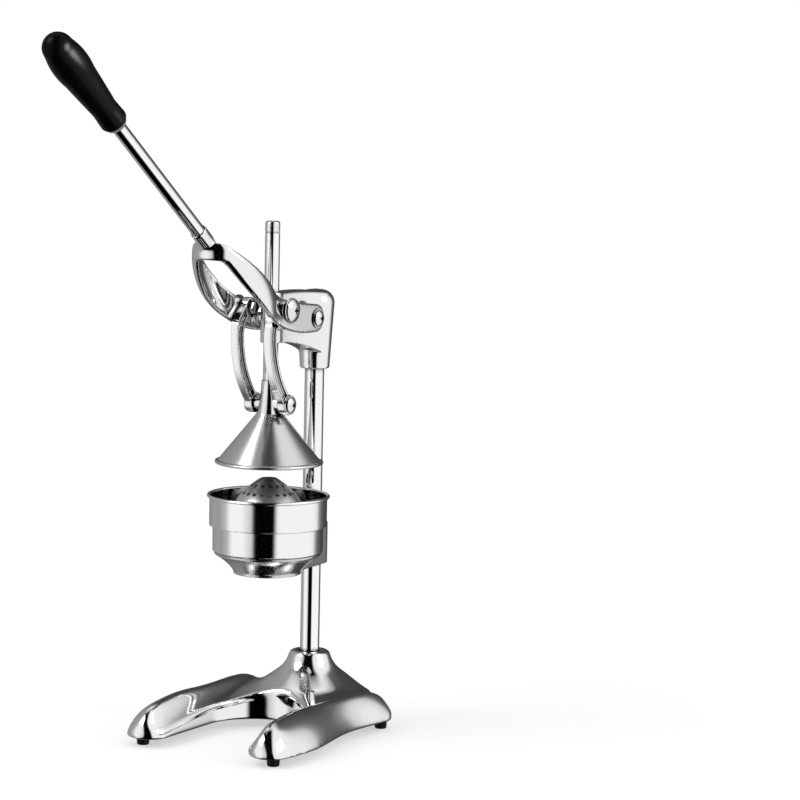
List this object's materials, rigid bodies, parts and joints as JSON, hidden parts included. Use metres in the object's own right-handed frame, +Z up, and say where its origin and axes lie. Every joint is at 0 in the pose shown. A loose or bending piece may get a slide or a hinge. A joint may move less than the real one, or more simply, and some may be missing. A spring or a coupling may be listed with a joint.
{
  "type": "lever citrus juice press",
  "caption": "Free-standing lever press for citrus: a bent lever drives a ram and cone down onto a strainer in a cup above an open glass bay.",
  "frame": {"origin": "on the table under the foot pads, on the axis of the ram, cone, cup and funnel", "axes": "+Z up along the ram, +Y to the rear where the column stands, +X to the right of the user who faces the press"},
  "size_m": [0.1966, 0.4874, 0.7046],
  "materials": {
    "polished_casting": "polished plated casting",
    "satin_casting": "satin cast",
    "foot_rubber": "matte black",
    "screw_steel": "bright plated",
    "column_chrome": "mirror chrome",
    "plain_steel": "zinc plated",
    "stainless_sheet": "bright stainless",
    "grip_plastic": "gloss black",
    "ferrule_grey": "satin grey",
    "satin_stainless": "satin stainless"
  },
  "bodies": {
    "stand": {"base_casting": "polished_casting", "foot_pad_front_left": "foot_rubber", "foot_pad_front_right": "foot_rubber", "foot_pad_rear_left": "foot_rubber", "foot_pad_rear_right": "foot_rubber", "foot_screws": "screw_steel", "column": "column_chrome", "column_plug": "plain_steel", "column_washer": "plain_steel", "column_bolt": "plain_steel", "funnel_holder": "satin_casting", "holder_set_screw": "screw_steel", "juice_cup": "stainless_sheet", "strainer": "stainless_sheet", "head_casting": "polished_casting", "head_set_screw": "screw_steel", "fulcrum_screws": "screw_steel", "fulcrum_washers": "screw_steel"},
    "lever": {"lever_fork": "polished_casting", "lever_rod": "column_chrome", "lever_grip": "grip_plastic", "grip_ferrule": "ferrule_grey", "link_screws": "screw_steel", "link_collars": "screw_steel"},
    "ram": {"ram_rod": "column_chrome", "ram_end_cap": "screw_steel", "crosshead": "polished_casting", "crosshead_screws": "screw_steel", "crosshead_washers": "screw_steel", "press_cone": "satin_stainless", "cone_washer": "screw_steel", "cone_screw": "screw_steel"},
    "links": {"link_left": "polished_casting", "link_right": "polished_casting", "link_nuts": "screw_steel"}
  },
  "joints": [
    {"name": "lever_swing", "type": "hinge", "parent": "stand", "child": "lever", "pos_m": [0, 0.038, 0.426], "axis": [1, 0, 0], "range_deg": [0, 85]},
    {"name": "ram_slide", "type": "slide", "parent": "stand", "child": "ram", "axis": [0, 0, -1], "range_m": [0, 0.0578]},
    {"name": "link_swing", "type": "hinge", "parent": "ram", "child": "links", "pos_m": [0, 0, 0.3407], "axis": [1, 0, 0], "range_deg": [-20.7, 0]}
  ],
  "couplings": [
    {"joint": "ram_slide", "follows": "lever_swing", "m_per_rad": 0.038847},
    {"joint": "link_swing", "follows": "lever_swing", "ratio": -0.24188}
  ]
}
